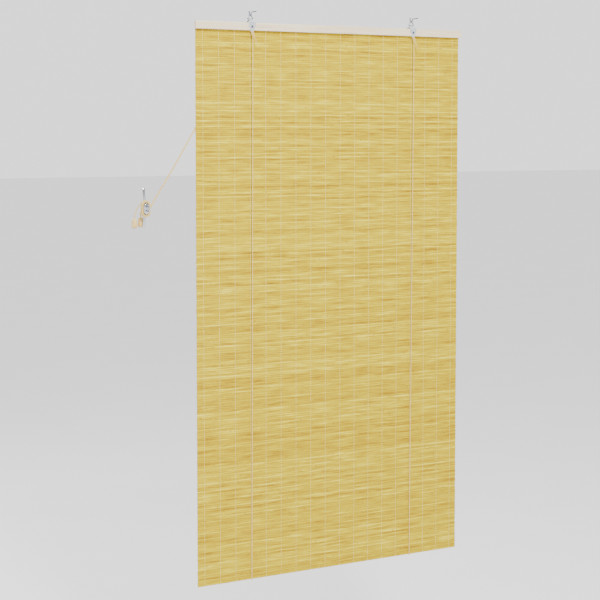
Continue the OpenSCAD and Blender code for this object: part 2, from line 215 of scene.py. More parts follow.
def sweep(path, radius, sides, closed=False):
    """A tube: radius is a number, a column of one for each point, or a function of (point number, angle)."""
    path = np.asarray(path, float)
    u, v = frames_along(path, closed)
    angle = np.linspace(0, 2 * math.pi, sides, endpoint=False)
    if callable(radius):
        r = radius(np.arange(len(path))[:, None], angle[None, :])
    else:
        r = np.full((len(path), sides), radius)
    verts = (path[:, None, :] + (r * np.cos(angle))[..., None] * u[:, None, :]
             + (r * np.sin(angle))[..., None] * v[:, None, :])
    return verts.reshape(-1, 3), ring_faces(len(path), sides, closed)


def rope(path, diameter, step, sides=12, start=0.0):
    """A laid cord: a tube whose surface carries the twist of its strands, from a place along their lay."""
    path = resample(np.asarray(path, float), step)
    spacing = line_length(path) / (len(path) - 1)
    lay_length = 9 * MM
    depth = 0.2

    def radius(i, angle):
        phase = angle * CORD_STRANDS - (start + i * spacing) / lay_length * 2 * math.pi * CORD_STRANDS
        return diameter / 2 * (1 - depth + depth * np.abs(np.cos(phase / 2)))

    return sweep(path, radius, sides)


def twisted_ring(path):
    """A closed loop of laid cord."""
    twists = 12

    def radius(i, angle):
        phase = angle * CORD_STRANDS - i / len(path) * 2 * math.pi * twists * CORD_STRANDS
        return CORD_R * (0.9 + 0.1 * np.abs(np.cos(phase / 2)))

    return sweep(path, radius, 12, closed=True)


def lathe(profile, at, axis, sides=48):
    """Turns (radius, height) points round an axis that starts at a point."""
    axis = np.asarray(axis, float)
    seed = np.array([1.0, 0, 0]) if abs(axis[0]) < 0.9 else np.array([0, 1.0, 0])
    u = np.cross(axis, seed)
    u /= np.linalg.norm(u)
    v = np.cross(axis, u)
    angle = np.linspace(0, 2 * math.pi, sides, endpoint=False)
    spokes = np.cos(angle)[:, None] * u + np.sin(angle)[:, None] * v
    verts = np.vstack([np.asarray(at) + r * spokes + h * axis for r, h in profile])
    return verts, ring_faces(len(profile), sides)


# ---- Material tools ----

def linear(red, green, blue):
    """An sRGB colour from 0 to 255 as linear RGBA."""
    parts = [c / 255 for c in (red, green, blue)]
    return tuple(c / 12.92 if c <= 0.04045 else ((c + 0.055) / 1.055) ** 2.4 for c in parts) + (1.0,)


class Look:
    """A material with its nodes. Settings are the shader's sockets, with _ for a space."""

    def __init__(self, name, **settings):
        self.material = bpy.data.materials.new(name)
        self.material.use_nodes = True
        self.tree = self.material.node_tree
        self.shader = self.tree.nodes["Principled BSDF"]
        self.coords = self.tree.nodes.new("ShaderNodeTexCoord").outputs["Object"]
        for socket, value in settings.items():
            self.shader.inputs[socket.replace("_", " ")].default_value = value

    def feed(self, socket, value):
        """Links another node's output to a socket, or gives the socket a constant."""
        if isinstance(value, bpy.types.NodeSocket):
            self.tree.links.new(value, socket)
        else:
            socket.default_value = value

    def node(self, kind, inputs=(), **settings):
        """A node with its settings, and what its inputs take."""
        made = self.tree.nodes.new("ShaderNode" + kind)
        for key, value in settings.items():
            setattr(made, key, value)
        for socket, value in dict(inputs).items():
            self.feed(made.inputs[socket], value)
        return made

    def stretched(self, scale):
        """The object's coordinates, scaled along each axis."""
        return self.node("Mapping", {"Vector": self.coords, "Scale": scale}).outputs["Vector"]

    def noise(self, scale, stretch=(1, 1, 1), detail=4.0, roughness=0.55):
        """Noise from 0 to 1, finer along the axes that are stretched more."""
        return self.node("TexNoise", {"Vector": self.stretched(stretch), "Scale": scale, "Detail": detail,
                                      "Roughness": roughness}).outputs["Fac"]

    def ramp(self, value, stops):
        """A colour ramp through (position, colour) stops."""
        made = self.node("ValToRGB", {"Fac": value})
        elements = made.color_ramp.elements
        while len(elements) < len(stops):
            elements.new(0.5)
        for element, (position, colour) in zip(elements, stops):
            element.position = position
            element.color = colour
        return made.outputs["Color"]

    def spread(self, value, low, high, new_low, new_high):
        """The range from low to high, mapped to the new one."""
        return self.node("MapRange", {"Value": value, "From Min": low, "From Max": high,
                                      "To Min": new_low, "To Max": new_high}).outputs["Result"]

    def mix(self, factor, first, second):
        """Two colours, mixed. Of a Mix node's sockets, 6 and 7 are the colours and output 2 is their mix."""
        made = self.node("Mix", {0: factor, 6: first, 7: second}, data_type="RGBA", blend_type="MIX")
        return made.outputs[2]

    def attribute(self, name):
        """One of the numbers that a Shape keeps for each vertex."""
        return self.node("Attribute", attribute_name=name).outputs["Fac"]

    def add(self, first, second):
        """The sum of two values."""
        return self.node("Math", {0: first, 1: second}, operation="ADD").outputs[0]

    def bump(self, height, strength, distance):
        """Relief from a height."""
        normal = self.node("Bump", {"Height": height, "Strength": strength, "Distance": distance})
        self.tree.links.new(normal.outputs["Normal"], self.shader.inputs["Normal"])

    def set(self, socket, value):
        """Links a value to one of the shader's sockets."""
        self.tree.links.new(value, self.shader.inputs[socket])


# ---- Materials ----

def bamboo_material():
    """Split bamboo: a tone for each splint, long fibres, patches, darker nodes, and painted shade in the
    grooves between splints.
    """
    look = Look("bamboo_splint", Roughness=0.5, Specular_IOR_Level=0.12)
    fibres = look.noise(1.0, (16, 500, 1100), detail=5)
    patches = look.noise(1.0, (13, 40, 190), detail=3)
    own_tone = look.spread(look.attribute("tone"), 0, 1, 0.25, 0.75)
    tone = look.add(own_tone, look.spread(patches, 0.3, 0.7, -0.35, 0.35))
    tone = look.add(tone, look.spread(fibres, 0.3, 0.7, -0.16, 0.16))
    colour = look.ramp(tone, [(0.0, (0.33, 0.18, 0.0, 1)), (0.3, (0.48, 0.325, 0.0, 1)),
                              (0.65, (0.60, 0.455, 0.0, 1)), (1.0, (0.80, 0.68, 0.06, 1))])
    colour = look.mix(look.attribute("knot"), colour, (0.36, 0.17, 0.01, 1))
    # Painted shade: the splints' upper and lower edges are darkened brown, standing in for the shade in the
    # gaps between them.
    gap_shade = look.spread(look.attribute("edge"), 0, 1, 0, 0.85)
    colour = look.mix(gap_shade, colour, (0.26, 0.14, 0.0, 1))
    look.set("Base Color", colour)
    look.set("Roughness", look.spread(fibres, 0.3, 0.7, 0.44, 0.6))
    look.bump(fibres, 0.1, 0.0002)
    return look.material


def thread_material():
    """Pale twisted cotton."""
    look = Look("warp_thread", Roughness=0.85)
    twist = look.noise(1.0, (900, 900, 300), detail=2)
    look.set("Base Color", look.ramp(twist, [(0.3, linear(216, 192, 88)), (0.7, linear(238, 218, 126))]))
    look.bump(twist, 0.4, 0.0002)
    return look.material


def cord_material():
    """Laid cotton cord."""
    look = Look("laid_cord", Roughness=0.8)
    fibres = look.noise(1.0, (700, 700, 260), detail=3)
    look.set("Base Color", look.ramp(fibres, [(0.3, linear(198, 162, 82)), (0.7, linear(228, 200, 126))]))
    look.bump(fibres, 0.4, 0.0003)
    return look.material


def rail_material():
    """Planed pale wood with its grain along the rail."""
    look = Look("rail_wood", Roughness=0.5)
    bend = look.noise(1.0, (3, 30, 30), detail=2)
    grain = look.noise(1.0, (6, 260, 420), detail=6, roughness=0.6)
    mixed = look.add(look.spread(grain, 0.25, 0.75, 0, 0.7), look.spread(bend, 0.3, 0.7, 0, 0.3))
    look.set("Base Color", look.ramp(mixed, [(0.15, linear(206, 182, 146)), (0.5, linear(230, 212, 180)),
                                             (0.9, linear(242, 228, 200))]))
    look.set("Roughness", look.spread(grain, 0.3, 0.7, 0.42, 0.6))
    look.bump(grain, 0.25, 0.0003)
    return look.material


def pull_material():
    """Turned wood with its grain upright, and painted shade on the hollow foot."""
    look = Look("turned_wood", Roughness=0.38)
    rings = look.noise(1.0, (260, 260, 30), detail=5)
    shade = look.noise(1.0, (60, 60, 20), detail=2)
    mixed = look.add(look.spread(rings, 0.3, 0.7, 0, 0.6), look.spread(shade, 0.3, 0.7, 0, 0.4))
    colour = look.ramp(mixed, [(0.1, linear(186, 146, 76)), (0.5, linear(218, 186, 112)),
                               (0.9, linear(234, 210, 146))])
    # Painted shade: the foot's underside and hollow are coloured dark brown, standing in for the shadow
    # under the pull.
    look.set("Base Color", look.mix(look.attribute("edge"), colour, linear(120, 80, 34)))
    look.bump(rings, 0.3, 0.0003)
    return look.material


def metal_material(name, colour, roughness, wear):
    """Plated metal with fine brushing and slightly uneven gloss."""
    look = Look(name, Metallic=1.0, Roughness=roughness)
    brushing = look.noise(1.0, (240, 240, 2400), detail=3)
    patches = look.noise(90, detail=3)
    look.set("Base Color", look.mix(look.spread(patches, 0.35, 0.65, 0, 1), colour,
                                    tuple(c * wear for c in colour[:3]) + (1.0,)))
    look.set("Roughness", look.spread(patches, 0.3, 0.7, roughness * 0.75, roughness * 1.35))
    look.bump(brushing, 0.12, 0.0001)
    return look.material


def pulley_material():
    """Off-white moulded nylon."""
    look = Look("moulded_nylon", Roughness=0.35)
    mottle = look.noise(500, detail=3)
    look.set("Base Color", look.ramp(mottle, [(0.3, linear(222, 219, 208)), (0.7, linear(236, 234, 226))]))
    look.set("Roughness", look.spread(mottle, 0.3, 0.7, 0.3, 0.45))
    look.bump(mottle, 0.15, 0.0002)
    return look.material


BAMBOO = bamboo_material()
THREAD = thread_material()
CORD = cord_material()
RAIL_WOOD = rail_material()
PULL_WOOD = pull_material()
NICKEL = metal_material("nickel_sheet", linear(236, 238, 242), 0.26, 0.9)
WIRE = metal_material("zinc_wire", linear(104, 112, 124), 0.24, 0.8)
CHROME = metal_material("chrome", linear(206, 209, 215), 0.1, 0.92)
NYLON = pulley_material()


# ---- Camera, light and floor ----

# The camera's place and lens, from the perspective of the blind's four corners
CAMERA_AT = mm(-2444.4, -4010.1, -333.4)
CAMERA_YAW = math.radians(30.192)
CAMERA_PITCH = math.radians(4.25)
CAMERA_SHIFT_Y = -0.08
SENSOR_MM = 36
LENS_MM = 96.04

# The studio: (height from 0 straight down to 1 straight up, brightness) of its walls, and its two lamps
WORLD_STRENGTH = 1.4
WORLD_SHADES = [(0.0, 0.1), (0.4, 0.12), (0.48, 1.2), (0.57, 1.2), (0.68, 0.3), (1.0, 1.8)]
KEY_AT = (-1.1, -3.6, 2.0)
KEY_SIZE = 0.6
KEY_POWER = 280
BACK_AT = (-1.0, 3.4, 2.2)
BACK_SIZE = 1.4
BACK_SHARE = 0.7
FLOOR_REACH = 60.0
FLOOR_DROP = 0.6


def add_camera():
    """The camera, level but for its pitch."""
    data = bpy.data.cameras.new("camera")
    data.sensor_width = SENSOR_MM
    data.lens = LENS_MM
    data.shift_y = CAMERA_SHIFT_Y
    data.clip_end = 100
    camera = bpy.data.objects.new("camera", data)
    camera.location = CAMERA_AT
    camera.rotation_euler = (math.pi / 2 - CAMERA_PITCH, 0, -CAMERA_YAW)
    bpy.context.collection.objects.link(camera)
    bpy.context.scene.camera = camera


def add_area(name, at, target, size, power):
    """A round soft lamp that faces the target."""
    data = bpy.data.lights.new(name, "AREA")
    data.shape = "DISK"
    data.size = size
    data.energy = power
    lamp = bpy.data.objects.new(name, data)
    lamp.location = at
    away = lamp.location - Vector(target)
    lamp.rotation_euler = away.to_track_quat("Z", "Y").to_euler()
    bpy.context.collection.objects.link(lamp)


def add_floor():
    """A plain pale floor below the hanging blind."""
    look = Look("studio_floor", Roughness=0.9)
    look.set("Base Color", look.ramp(look.noise(3, detail=2), [(0.3, (0.86, 0.86, 0.86, 1)),
                                                               (0.7, (0.88, 0.88, 0.88, 1))]))
    corners = [(-1, -1), (1, -1), (1, 1), (-1, 1)]
    shape = Shape()
    shape.add([(x * FLOOR_REACH, y * FLOOR_REACH, FOOT_Z - FLOOR_DROP) for x, y in corners], [(0, 1, 2, 3)])
    shape.make("studio_floor", [look.material], smooth=False)


def add_world():
    """The studio's walls: light near the horizon and overhead, darker between and below."""
    world = bpy.data.worlds.new("studio")
    world.use_nodes = True
    nodes, links = world.node_tree.nodes, world.node_tree.links
    background = nodes["Background"]
    background.inputs["Strength"].default_value = WORLD_STRENGTH
    direction = nodes.new("ShaderNodeTexCoord")
    split = nodes.new("ShaderNodeSeparateXYZ")
    shade = nodes.new("ShaderNodeValToRGB")
    links.new(direction.outputs["Generated"], split.inputs["Vector"])
    height = nodes.new("ShaderNodeMapRange")
    height.inputs["From Min"].default_value = -1
    links.new(split.outputs["Z"], height.inputs["Value"])
    links.new(height.outputs["Result"], shade.inputs["Fac"])
    elements = shade.color_ramp.elements
    ends = {0.0: 0, 1.0: -1}
    for position, grey in WORLD_SHADES:
        element = elements[ends[position]] if position in ends else elements.new(position)
        element.color = (grey, grey, grey, 1)
    links.new(shade.outputs["Color"], background.inputs["Color"])
    bpy.context.scene.world = world


MAT_MIDDLE = (0, 0, FOOT_Z / 2)
add_camera()
add_floor()
add_world()
add_area("key", KEY_AT, MAT_MIDDLE, KEY_SIZE, KEY_POWER)
add_area("back", BACK_AT, MAT_MIDDLE, BACK_SIZE, KEY_POWER * BACK_SHARE)


# ---- Cord routes, as in part.scad ----

LEFT_PULL = mm([-280, 5.2, -31.4], [-295, 5.2, -59], [-326, 5, -116], [-358, 4.8, -171],
               [-389, 4.6, -225], [-420, 4.3, -278], [-451, 4, -329], [-483, 3.4, -379],
               [-514, 2.8, -428], [-545, 2, -475], [-576, 1, -521], [-589, -0.5, -541],
               [-595, -4, -550], [-598, -10, -557])
RIGHT_PULL = mm([-280, 8.4, -31.4], [-295, 8.4, -59], [-326, 8.2, -116], [-358, 8, -171],
                [-389, 7.8, -225], [-420, 7.5, -278], [-451, 7.2, -329], [-483, 6.6, -379],
                [-514, 6, -428], [-545, 5.2, -475], [-576, 4.2, -521], [-588, 3.8, -539],
                [-596, 0, -546], [-599, -10, -549])
LEFT_TAIL = mm([-617, -9.5, -526], [-617.5, -5, -526], [-621, -0.5, -531], [-626, 3, -541],
               [-631, 5.5, -555], [-633, 6, -567])
RIGHT_TAIL = mm([-616, -9.5, -552], [-616.5, -5, -550.5], [-616.5, 1, -550.5],
                [-615, 7, -552.5], [-612.5, 11, -557], [-611, 12.5, -564])
LIFT_FRONT_Y = mm(-15.6, -14, -10.5, -7.5, -2.9)
LIFT_FRONT_Z = mm(-58, -300, -700, -1100, -1621.5)
LIFT_LOOP_R = 3.2 * MM
LIFT_LOOP_Z = FOOT_Z + 1 * MM
LIFT_BACK_Y = 3.4 * MM
LIFT_BACK_DEPTH = mm(60, 200)
LIFT_TRACK_Y = {"left": NEAR_TRACK_Y, "right": FAR_TRACK_Y}


# ---- The mat: splints and warp threads ----

NODE_HALF = 4 * MM
SPLINT_STATIONS = 19
THREAD_PITCH = 50 * MM
THREAD_W = 1.3 * MM
THREAD_T = 0.5 * MM
THREAD_OFFSET = 0.12 * MM


def splint_rows():
    """(middle height, pitch) of each splint: the header's, then each band's from the top down."""
    header_count = int(round((RAIL_TOP_Z - HINGE_Z[0]) / SPLINT_PITCH))
    pitch = (RAIL_TOP_Z - HINGE_Z[0]) / header_count
    rows = [[(RAIL_TOP_Z - (i + 0.5) * pitch, pitch) for i in range(header_count)]]
    for k in range(BAND_COUNT):
        height = HINGE_Z[k] - HINGE_Z[k + 1]
        count = int(round(height / SPLINT_PITCH))
        pitch = height / count
        rows.append([(HINGE_Z[k] - (i + 0.5) * pitch, pitch) for i in range(count)])
    return rows


def splint(z, pitch):
    """One split of bamboo: a flat strip with rounded edges that wanders a little and swells at its nodes."""
    half = MAT_LENGTH / 2
    trim = rng.uniform(0, 1.2 * MM, 2)
    first_node = rng.uniform(-half, -half + 0.25)
    node_spacing = rng.uniform(0.22, 0.34)
    nodes = np.arange(first_node, half, node_spacing)
    nodes = nodes[np.abs(nodes) < half - 2 * NODE_HALF]
    regular = np.linspace(-half + trim[0], half - trim[1], SPLINT_STATIONS)
    regular = regular[[np.all(np.abs(nodes - x) > 1.5 * NODE_HALF) for x in regular]]
    stations = np.sort(np.concatenate([regular] + [[x - NODE_HALF, x, x + NODE_HALF] for x in nodes]))
    at_node = np.array([np.any(np.abs(nodes - x) < 0.1 * MM) for x in stations])
    thickness = SPLINT_T * rng.uniform(0.82, 0.95)
    phase = rng.uniform(0, 2 * math.pi, 2)
    waves = rng.uniform(3, 9, 2)
    slow, fast = np.sin(waves[0] * stations + phase[0]), np.sin(waves[1] * stations * 2 + phase[1])
    warp = 0.05 * MM * (slow + fast)
    half_thick = thickness / 2 * (1 + 0.12 * at_node)
    edge = rng.uniform(0.1, 0.26)
    outline = np.array([(-1, -1 + edge), (-0.45, -1), (0.45, -1), (1, -1 + edge),
                        (1, 1 - edge), (0.45, 1), (-0.45, 1), (-1, 1 - edge)])
    verts = np.empty((len(stations), len(outline), 3))
    verts[..., 0] = stations[:, None]
    verts[..., 1] = MAT_Y + warp[:, None] + half_thick[:, None] * outline[None, :, 0]
    verts[..., 2] = z + pitch / 2 * outline[None, :, 1]
    sides = len(outline)
    node_stain = rng.uniform(0.0, 0.6)
    knots = np.repeat(np.where(at_node, node_stain, 0.0), sides)
    # The points on the splint's upper and lower edges, which the bamboo material darkens as painted shade of
    # the gaps.
    edges = np.tile((np.abs(outline[:, 1]) > 0.95).astype(float), len(stations))
    return verts.reshape(-1, 3), ring_faces(len(stations), sides), knots, edges


def thread_heights(rows):
    """Where a warp strand bears on each splint: near its upper and its lower edge."""
    return [z + side * 0.3 * pitch for z, pitch in rows for side in (1, -1)]


def add_threads(shape, rows, first_row):
    """At each thread line, two strands that swap faces between one splint and the next."""
    count = 2 * int(round(MAT_LENGTH / (2 * THREAD_PITCH)))
    heights = np.array(thread_heights(rows))
    corners = np.array([(-1, 0), (0, -1), (1, 0), (0, 1)]) * [THREAD_W / 2, THREAD_T / 2]
    for i in range(count):
        x = (i - (count - 1) / 2) * THREAD_PITCH
        for strand in (1, -1):
            face = np.repeat([strand * (-1) ** (first_row + row) for row in range(len(rows))], 2)
            path = np.column_stack([np.full(len(heights), x) + strand * THREAD_OFFSET,
                                    MAT_Y + face * (SPLINT_T / 2 + THREAD_OFFSET), heights])
            verts = np.empty((len(path), 4, 3))
            verts[..., 0] = path[:, None, 0] + corners[None, :, 0]
            verts[..., 1] = path[:, None, 1] + corners[None, :, 1]
            verts[..., 2] = path[:, None, 2]
            shape.add(verts.reshape(-1, 3), ring_faces(len(path), 4), 1)


def zone_rows(rows):
    """The splints of each zone: from the middle of one band to the middle of the next."""
    zones = [rows[0] + rows[1][:len(rows[1]) // 2]]
    for k in range(1, BAND_COUNT):
        above, below = rows[k], rows[k + 1]
        zones.append(above[len(above) // 2:] + below[:len(below) // 2])
    zones.append(rows[BAND_COUNT][len(rows[BAND_COUNT]) // 2:])
    return zones


ZONES = zone_rows(splint_rows())
ZONE_TOP = [rows[0][0] + rows[0][1] / 2 for rows in ZONES]
ZONE_FOOT = ZONE_TOP[1:] + [FOOT_Z]


def attach_zone(piece, zone):
    """Bakes a piece's transform into its mesh. The last zone has no hinge, and rides on the lowest band
    instead.
    """
    if zone == BAND_COUNT:
        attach(piece, LOWEST_BAND)
        return
    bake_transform(piece)


def make_mat():
    """The mat's zones, each with its splints and the threads round them."""
    row_number = 0
    for zone, rows in enumerate(ZONES):
        shape = Shape()
        for z, pitch in rows:
            verts, faces, knots, edges = splint(z, pitch)
            shape.add(verts, faces, 0, rng.beta(1.6, 1.6), knots, edges)
        z, pitch = rows[-1]
        next_row = [(z - pitch, pitch)] if zone < BAND_COUNT else []
        add_threads(shape, rows + next_row, row_number)
        row_number += len(rows)
        piece = shape.make("mat_zone_%02d" % zone, [BAMBOO, THREAD])
        attach_zone(piece, zone)
        if zone == 0:
            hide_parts("mat_header", "warp_threads", "mat_band_00")
        elif zone < BAND_COUNT:
            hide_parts("mat_band_%02d" % zone)


make_mat()


# ---- Lift cords ----

LIFT_STEP = 2.6 * MM
LIFT_SIDES = 9


def front_run(x, high, low):
    """The wall-side run of a lift cord between two heights."""
    z = np.linspace(high, low, max(2, int((high - low) / (4 * MM))))
    y = np.interp(-z, -LIFT_FRONT_Z, LIFT_FRONT_Y)
    return np.column_stack([np.full(len(z), x), y, z])


def back_run(x, track_y, high, low):
    """The room-side run of a lift cord between two heights."""
    z = np.linspace(high, low, max(2, int((high - low) / (4 * MM))))
    y = np.interp(-z, LIFT_BACK_DEPTH, [track_y, LIFT_BACK_Y])
    return np.column_stack([np.full(len(z), x + WHEEL_TRACK_R), y, z])


def foot_loop(x):
    """Under the foot of the mat, from the wall side to the room side."""
    turn = np.radians(np.linspace(180, 360, 13))
    return np.column_stack([x + WHEEL_TRACK_R * np.linspace(0, 1, 13),
                            MAT_Y + LIFT_LOOP_R * np.cos(turn),
                            LIFT_LOOP_Z + LIFT_LOOP_R * np.sin(turn)])


def over_wheel(x, y, start, end):
    """Part of the way over a wheel, between two angles in degrees up from +X."""
    turn = np.radians(np.linspace(start, end, 9))
    up = AXLE_Z + WHEEL_TRACK_R * np.sin(turn)
    return np.column_stack([x + WHEEL_TRACK_R * np.cos(turn), np.full(9, y), up])


def lift_rope(path, start=0.0):
    """A stretch of lift cord along a path."""
    return rope(path, CORD_D, LIFT_STEP, LIFT_SIDES, start)


def make_lift_zone(zone):
    """Both lift cords beside one zone of the mat. In the lowest zone each goes under the foot."""
    shape = Shape()
    high, low = ZONE_TOP[zone], ZONE_FOOT[zone]
    for name, side in SIDES.items():
        x = side * CORD_X
        track_y = LIFT_TRACK_Y[name]
        if zone == BAND_COUNT:
            path = np.vstack([front_run(x, high, LIFT_LOOP_Z)[:-1], foot_loop(x),
                              back_run(x, track_y, LIFT_LOOP_Z, high)[1:]])
            path[-2:, 2] = [high - 2 * MM, high]
            shape.add(*lift_rope(path, -high))
            continue
        front_high = min(high, LIFT_FRONT_Z[0])
        back_high = min(high, HINGE_Z[0])
        shape.add(*lift_rope(front_run(x, front_high, low), -front_high))
        shape.add(*lift_rope(back_run(x, track_y, back_high, low), -back_high))
    piece = shape.make("lift_cords_%02d" % zone, [CORD])
    if zone == 0:
        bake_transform(piece)
        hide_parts("left_lift_cord", "right_lift_cord")
    else:
        attach_zone(piece, zone)


def make_lift_cords_top():
    """From the top hinge over the wheels. The right cord crosses to the left wheel, on its own track."""
    left, right = -CORD_X, CORD_X
    left_path = np.vstack([back_run(left, NEAR_TRACK_Y, AXLE_Z, HINGE_Z[0])[::-1],
                           over_wheel(left, NEAR_TRACK_Y, 8, 152)])
    right_path = np.vstack([back_run(right, FAR_TRACK_Y, AXLE_Z, HINGE_Z[0])[::-1],
                            over_wheel(right, FAR_TRACK_Y, 8, 90), over_wheel(left, FAR_TRACK_Y, 90, 152)])
    shape = Shape()
    shape.add(*lift_rope(left_path))
    shape.add(*lift_rope(right_path))
    piece = shape.make("lift_cords_top", [CORD], "head")


for zone in range(BAND_COUNT + 1):
    make_lift_zone(zone)
make_lift_cords_top()


# ---- Knots at the bracket tips ----

KNOT_CORD_D = 2.4 * MM
KNOT_STEP = 1 * MM


def frayed_end(at, direction, radius):
    """A small flared tuft at a cut cord end."""
    direction = direction / np.linalg.norm(direction)
    profile = [(0.0, 0.0), (radius, 0.0), (radius * 1.25, radius), (radius * 1.1, radius * 1.6),
               (0.0, radius * 1.4)]
    return lathe(profile, at, direction, 12)


def make_knots():
    """An overhand knot below each bracket's tip, with a short tail, tied through the tip's hole."""
    shape = Shape()
    turn = np.linspace(0, 2 * math.pi, 90, endpoint=False)
    size = 1.35 * MM
    loops = np.column_stack([size * (2 + np.cos(3 * turn)) * np.cos(2 * turn),
                             size * 0.95 * np.sin(3 * turn),
                             size * 1.2 * (2 + np.cos(3 * turn)) * np.sin(2 * turn)])
    tip_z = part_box("left_bracket")[0][2]
    hole_z = tip_z + 3.7 * MM
    for side in SIDES.values():
        x = side * CORD_X
        knot_at = np.array([x, LIFT_FRONT_Y[0], tip_z - 2.5 * MM])
        shape.add(*sweep(knot_at + loops, 1.25 * MM, 10, closed=True))
        through = mm([0, -15.8, -3.7], [0, -15, -0.5], [0, -12.5, 0], [0, -10.6, 0]) + [x, 0, hole_z]
        shape.add(*rope(smooth_curve(through, KNOT_STEP), KNOT_CORD_D, KNOT_STEP))
        stop = [(0, 0), (1.5, 0), (2.2, 0.6), (2.2, 1.4), (1.4, 2), (0, 2)]
        shape.add(*lathe([(r * MM, h * MM) for r, h in stop], (x, -10.8 * MM, hole_z), (0, 1, 0), 16))
        tail = mm([1, -16.5, -5], [4, -17.5, -12], [8, -17.5, -20], [11, -17, -28]) + [x, 0, tip_z]
        tail_path = smooth_curve(tail, KNOT_STEP)
        shape.add(*rope(tail_path, KNOT_CORD_D, KNOT_STEP))
        shape.add(*frayed_end(tail_path[-1], tail_path[-1] - tail_path[-3], KNOT_CORD_D / 2))
        shape.add(*rope(front_run(x, tip_z - 4 * MM, LIFT_FRONT_Z[0]), CORD_D, KNOT_STEP))
    piece = shape.make("becket_knots_tied", [CORD], "head")
    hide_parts("becket_knots")


make_knots()


# ---- Pull cords, their turns on the cleat, and the wooden pulls ----

# The layers of turns on the cleat, in mm: each one's inset from the outermost, and its turns' places in y
TURN_LAYERS = [(0, [-16.4, -13.3, -10.4]), (2.7, [-16.2, -13.4, -10.6])]
TURN_LEAN = 0.5 * MM
PULL_STEP = 1.6 * MM
TAIL_STEP = 0.8 * MM


def oval(half_w, half_h):
    """Points round an upright straight-sided oval, as (across, up)."""
    turn = np.linspace(0, math.pi, 16)
    straight = half_h - half_w
    top = np.column_stack([half_w * np.cos(turn), straight + half_w * np.sin(turn)])
    return np.vstack([top, -top])


def make_winding():
    """Turns of both cords round the cleat's neck, in two layers, each turn tilted a little."""
    shape = Shape()
    outer_w = (winding_high[0] - winding_low[0]) / 2 - CORD_R
    outer_h = (winding_high[2] - winding_low[2]) / 2 - CORD_R
    for inset, layer in TURN_LAYERS:
        for number, y in enumerate(layer):
            ring = oval(outer_w - inset * MM, outer_h - inset * MM)
            lean = TURN_LEAN * math.cos(number * 2 + inset)
            path = np.column_stack([CLEAT_X + ring[:, 0], y * MM + lean * ring[:, 1] / outer_h,
                                    CLEAT_Z + ring[:, 1]])
            path = resample(np.vstack([path, path[:1]]), 1 * MM)[:-1]
            shape.add(*twisted_ring(path))
    piece = shape.make("cleat_turns", [CORD], "wall_fixings")
    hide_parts("cleat_winding")


def rounded_profile(points, radius, steps):
    """A (radius, height) profile with its inner corners rounded off."""
    points = np.asarray(points, float)
    rounded = [points[0]]
    for before, corner, after in zip(points, points[1:], points[2:]):
        into, out = before - corner, after - corner
        cut = min(radius, np.linalg.norm(into) * 0.45, np.linalg.norm(out) * 0.45)
        start = corner + into / np.linalg.norm(into) * cut
        finish = corner + out / np.linalg.norm(out) * cut
        for t in np.linspace(0, 1, steps):
            rounded.append((1 - t) ** 2 * start + 2 * t * (1 - t) * corner + t ** 2 * finish)
    rounded.append(points[-1])
    return np.array(rounded)


# Turned pull: a cord hole at the top, a fine groove round it and a hollow in its foot
ACORN_PROFILE = rounded_profile(mm(*[
    [0, 4], [1.75, 4], [1.75, 0.6], [3.2, 0], [5.4, 1.6], [6.7, 5], [7.2, 8.4], [6.95, 8.9], [7.3, 9.4],
    [8.05, 19], [8.2, 22], [7.8, 25.4], [6, 27], [3.4, 27], [3.2, 23], [0, 23]]), 0.9 * MM, 4)
# Below this depth the pull's foot is coloured as painted shade.
ACORN_SHADE_AT = 25.8 * MM
ACORN_SIDES = 64


def make_pull_run(name, node, path):
    """One stretch of a pull cord, with its transform baked into its mesh."""
    run = Shape()
    run.add(*rope(path, CORD_D, PULL_STEP))
    piece = run.make(name, [CORD])
    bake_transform(piece)
    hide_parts(node)


def make_pull(name, route, tail, body):
    """A pull cord from the pulley to the cleat, and its free tail with a turned wooden pull on it.

    The run is one cord in two pieces: the first runs as far as the mat's edge and the second goes on from
    the bail to the cleat.
    """
    path = smooth_curve(route, PULL_STEP)
    mat_edge, join, cleat_end = route[6], route[7], route[11]
    cut = int(np.argmin(np.linalg.norm(path - join, axis=1)))
    node = name + "_pull_cord"
    make_pull_run(name + "_pull_rope", node, path[:cut + 1])
    make_pull_run(name + "_pull_rope_end", node, path[cut:])

    acorn_top = tail[-1]
    tail_path = smooth_curve(np.vstack([tail, acorn_top - mm(0, 0, 6)]), TAIL_STEP)
    end = Shape()
    end.add(*rope(tail_path, CORD_D, TAIL_STEP))
    tail_piece = end.make(name + "_tail_rope", [CORD], body)
    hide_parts(name + "_cord_tail")
    acorn = Shape()
    # The foot's underside and hollow, coloured dark as painted shade.
    shaded_foot = np.repeat(ACORN_PROFILE[:, 1] > ACORN_SHADE_AT, ACORN_SIDES)
    acorn.add(*lathe(ACORN_PROFILE, acorn_top, (0, 0, -1), ACORN_SIDES), edges=shaded_foot.astype(float))
    acorn_piece = acorn.make(name + "_wooden_pull", [PULL_WOOD], body, sharp_angle=50)
    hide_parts(name + "_acorn")


make_winding()
make_pull("left", LEFT_PULL, LEFT_TAIL, "left_pull")
make_pull("right", RIGHT_PULL, RIGHT_TAIL, "right_pull")


# ---- Screw hooks and bails ----

def rounded_line(points, radii, step):
    """A line through corner points with each corner turned to its radius."""
    points = np.asarray(points, float)
    line = [points[0]]
    for before, corner, after, radius in zip(points, points[1:], points[2:], radii):
        into = (before - corner) / np.linalg.norm(before - corner)
        out = (after - corner) / np.linalg.norm(after - corner)
        half = math.acos(np.clip(into @ out, -1, 1)) / 2
        cut = radius / math.tan(half)
        toward = (into + out) / np.linalg.norm(into + out)
        centre = corner + toward * radius / math.sin(half)
        first, last = corner + into * cut - centre, corner + out * cut - centre
        span = math.acos(np.clip(first @ last / radius ** 2, -1, 1))
        for t in np.linspace(0, 1, 13):
            arm = (first * math.sin((1 - t) * span) + last * math.sin(t * span)) / math.sin(span)
            line.append(centre + arm)
    line.append(points[-1])
    return resample(np.array(line), step)


